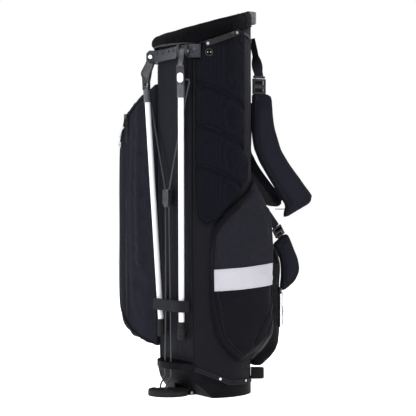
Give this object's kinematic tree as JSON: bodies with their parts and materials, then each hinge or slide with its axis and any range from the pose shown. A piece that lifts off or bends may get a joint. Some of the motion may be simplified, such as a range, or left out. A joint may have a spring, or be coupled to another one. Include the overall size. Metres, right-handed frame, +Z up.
{
  "type": "golf stand bag",
  "caption": "Upright golf bag with a padded rim, pockets, shoulder straps and two fold-out legs worked by rods from a foot plate.",
  "frame": {"origin": "on the axis of the fabric tube, on the plane of the boot's flat underside", "axes": "+Z up along the tube; legs, rods and foot plate at -Y; shoulder straps and ball pocket at +Y; hip pad and side pocket at +X; large pocket at -X"},
  "size_m": [0.361, 0.417, 0.8933],
  "materials": {
    "black_plastic": "moulded, fine texture",
    "grey_plastic": "moulded, satin",
    "white_plastic": "gloss",
    "rubber": "ribbed, matt",
    "white_paint": "smooth paint on aluminium tube",
    "dark_steel": "black coated steel wire",
    "bright_steel": "satin",
    "brass": "polished",
    "bag_fabric": "ripstop nylon",
    "side_fabric": "melange polyester",
    "pad_mesh": "air mesh over foam",
    "webbing": "woven polypropylene",
    "reflective": "light reflective fabric",
    "zip_tape": "woven tape with coil teeth",
    "lining": "brushed lining",
    "stay": "glass fibre rod and bar"
  },
  "bodies": {
    "root": {"boot": "black_plastic", "boot_hem": "bag_fabric", "boot_rivets": "bright_steel", "base_loop": "webbing", "body_shell": "bag_fabric", "front_panel": "bag_fabric", "top_collar": "black_plastic", "collar_cuff": "bag_fabric", "divider_frame": "black_plastic", "divider_sheets": "lining", "spine_stay": "stay", "side_stays": "stay", "leg_bracket": "black_plastic", "bracket_rivets": "brass", "hinge_pins": "bright_steel", "hip_pad": "pad_mesh", "apparel_pocket": "bag_fabric", "side_pocket": "side_fabric", "ball_pocket": "bag_fabric", "reflective_band": "reflective", "grab_handle": "webbing", "handle_rivets": "bright_steel", "lift_handle": "webbing", "grommet": "black_plastic", "strap_right_web": "webbing", "strap_right_buckle": "black_plastic", "strap_right_pad": "pad_mesh", "strap_left_web": "webbing", "strap_left_buckle": "black_plastic", "strap_left_pad": "pad_mesh", "strap_lower_web": "webbing", "strap_lower_buckle": "black_plastic", "strap_lower_pad": "pad_mesh", "keeper_strap": "webbing", "apparel_zip": "zip_tape", "side_zip": "zip_tape", "ball_zip": "zip_tape", "foot_pin": "bright_steel"},
    "leg_right": {"leg_yoke_right": "black_plastic", "leg_cap_right": "grey_plastic", "pivot_disc_right": "white_plastic", "leg_tube_right": "white_paint", "leg_foot_right": "rubber"},
    "leg_left": {"leg_yoke_left": "black_plastic", "leg_cap_left": "grey_plastic", "pivot_disc_left": "white_plastic", "leg_tube_left": "white_paint", "leg_foot_left": "rubber"},
    "rods": {"rod_connector": "black_plastic", "lower_rods": "dark_steel"},
    "upper_rod_right": {"upper_rod_right": "dark_steel"},
    "upper_rod_left": {"upper_rod_left": "dark_steel"},
    "foot_plate": {"foot_plate": "rubber"},
    "apparel_slider": {"apparel_slider": "dark_steel"},
    "apparel_pull": {"apparel_pull": "white_plastic"},
    "side_slider": {"side_slider": "dark_steel"},
    "side_pull": {"side_pull": "webbing"},
    "ball_slider": {"ball_slider": "dark_steel"},
    "ball_pull": {"ball_pull": "white_plastic"}
  },
  "joints": [
    {"name": "leg_right_swing", "type": "hinge", "parent": "root", "child": "leg_right", "pos_m": [0.071, -0.0995, 0.779], "axis": [-0.7071, -0.7071, 0], "range_deg": [0, 30], "stiffness_Nm_per_rad": 0.9, "springref_deg": -14.32, "deforming": ["keeper_strap"]},
    {"name": "leg_left_swing", "type": "hinge", "parent": "root", "child": "leg_left", "pos_m": [-0.071, -0.0995, 0.779], "axis": [-0.7071, 0.7071, 0], "range_deg": [0, 30]},
    {"name": "rod_lift", "type": "slide", "parent": "root", "child": "rods", "axis": [0, 0, 1], "range_m": [0, 0.0216]},
    {"name": "upper_rod_right_turn", "type": "hinge", "parent": "rods", "child": "upper_rod_right", "pos_m": [0.009, -0.098, 0.47], "axis": [0.6519, 0.7332, -0.1936], "range_deg": [0, 7.28]},
    {"name": "upper_rod_left_turn", "type": "hinge", "parent": "rods", "child": "upper_rod_left", "pos_m": [-0.009, -0.098, 0.47], "axis": [0.6519, -0.7332, 0.1936], "range_deg": [0, 7.28]},
    {"name": "foot_plate_tilt", "type": "hinge", "parent": "root", "child": "foot_plate", "pos_m": [0, -0.054, 0.006], "axis": [-1, 0, 0], "range_deg": [0, 24]},
    {"name": "apparel_zip_slide", "type": "slide", "parent": "root", "child": "apparel_slider", "axis": [0, 0, -1], "range_m": [0, 0.46]},
    {"name": "apparel_pull_swing", "type": "hinge", "parent": "apparel_slider", "child": "apparel_pull", "pos_m": [-0.17592, -0.11623, 0.6435], "axis": [-0.9664, -0.2571, 0], "range_deg": [0, 80]},
    {"name": "side_zip_slide", "type": "slide", "parent": "root", "child": "side_slider", "axis": [0.2971, 0.135, -0.9453], "range_m": [0, 0.108]},
    {"name": "side_pull_swing", "type": "hinge", "parent": "side_slider", "child": "side_pull", "pos_m": [0.08378, 0.11375, 0.41992], "axis": [0.9423, -0.2018, 0.2673], "range_deg": [0, 80]},
    {"name": "ball_zip_slide", "type": "slide", "parent": "root", "child": "ball_slider", "axis": [0, 0, -1], "range_m": [0, 0.07]},
    {"name": "ball_pull_swing", "type": "hinge", "parent": "ball_slider", "child": "ball_pull", "pos_m": [0.05833, 0.18133, 0.2285], "axis": [0.7071, -0.7071, 0], "range_deg": [0, 80]}
  ],
  "couplings": [
    {"joint": "leg_left_swing", "follows": "leg_right_swing", "ratio": 1},
    {"joint": "rod_lift", "follows": "leg_right_swing", "m_per_rad": 0.041253},
    {"joint": "upper_rod_right_turn", "follows": "leg_right_swing", "ratio": 0.2425},
    {"joint": "upper_rod_left_turn", "follows": "leg_right_swing", "ratio": 0.2425},
    {"joint": "foot_plate_tilt", "follows": "leg_right_swing", "ratio": 0.797}
  ]
}
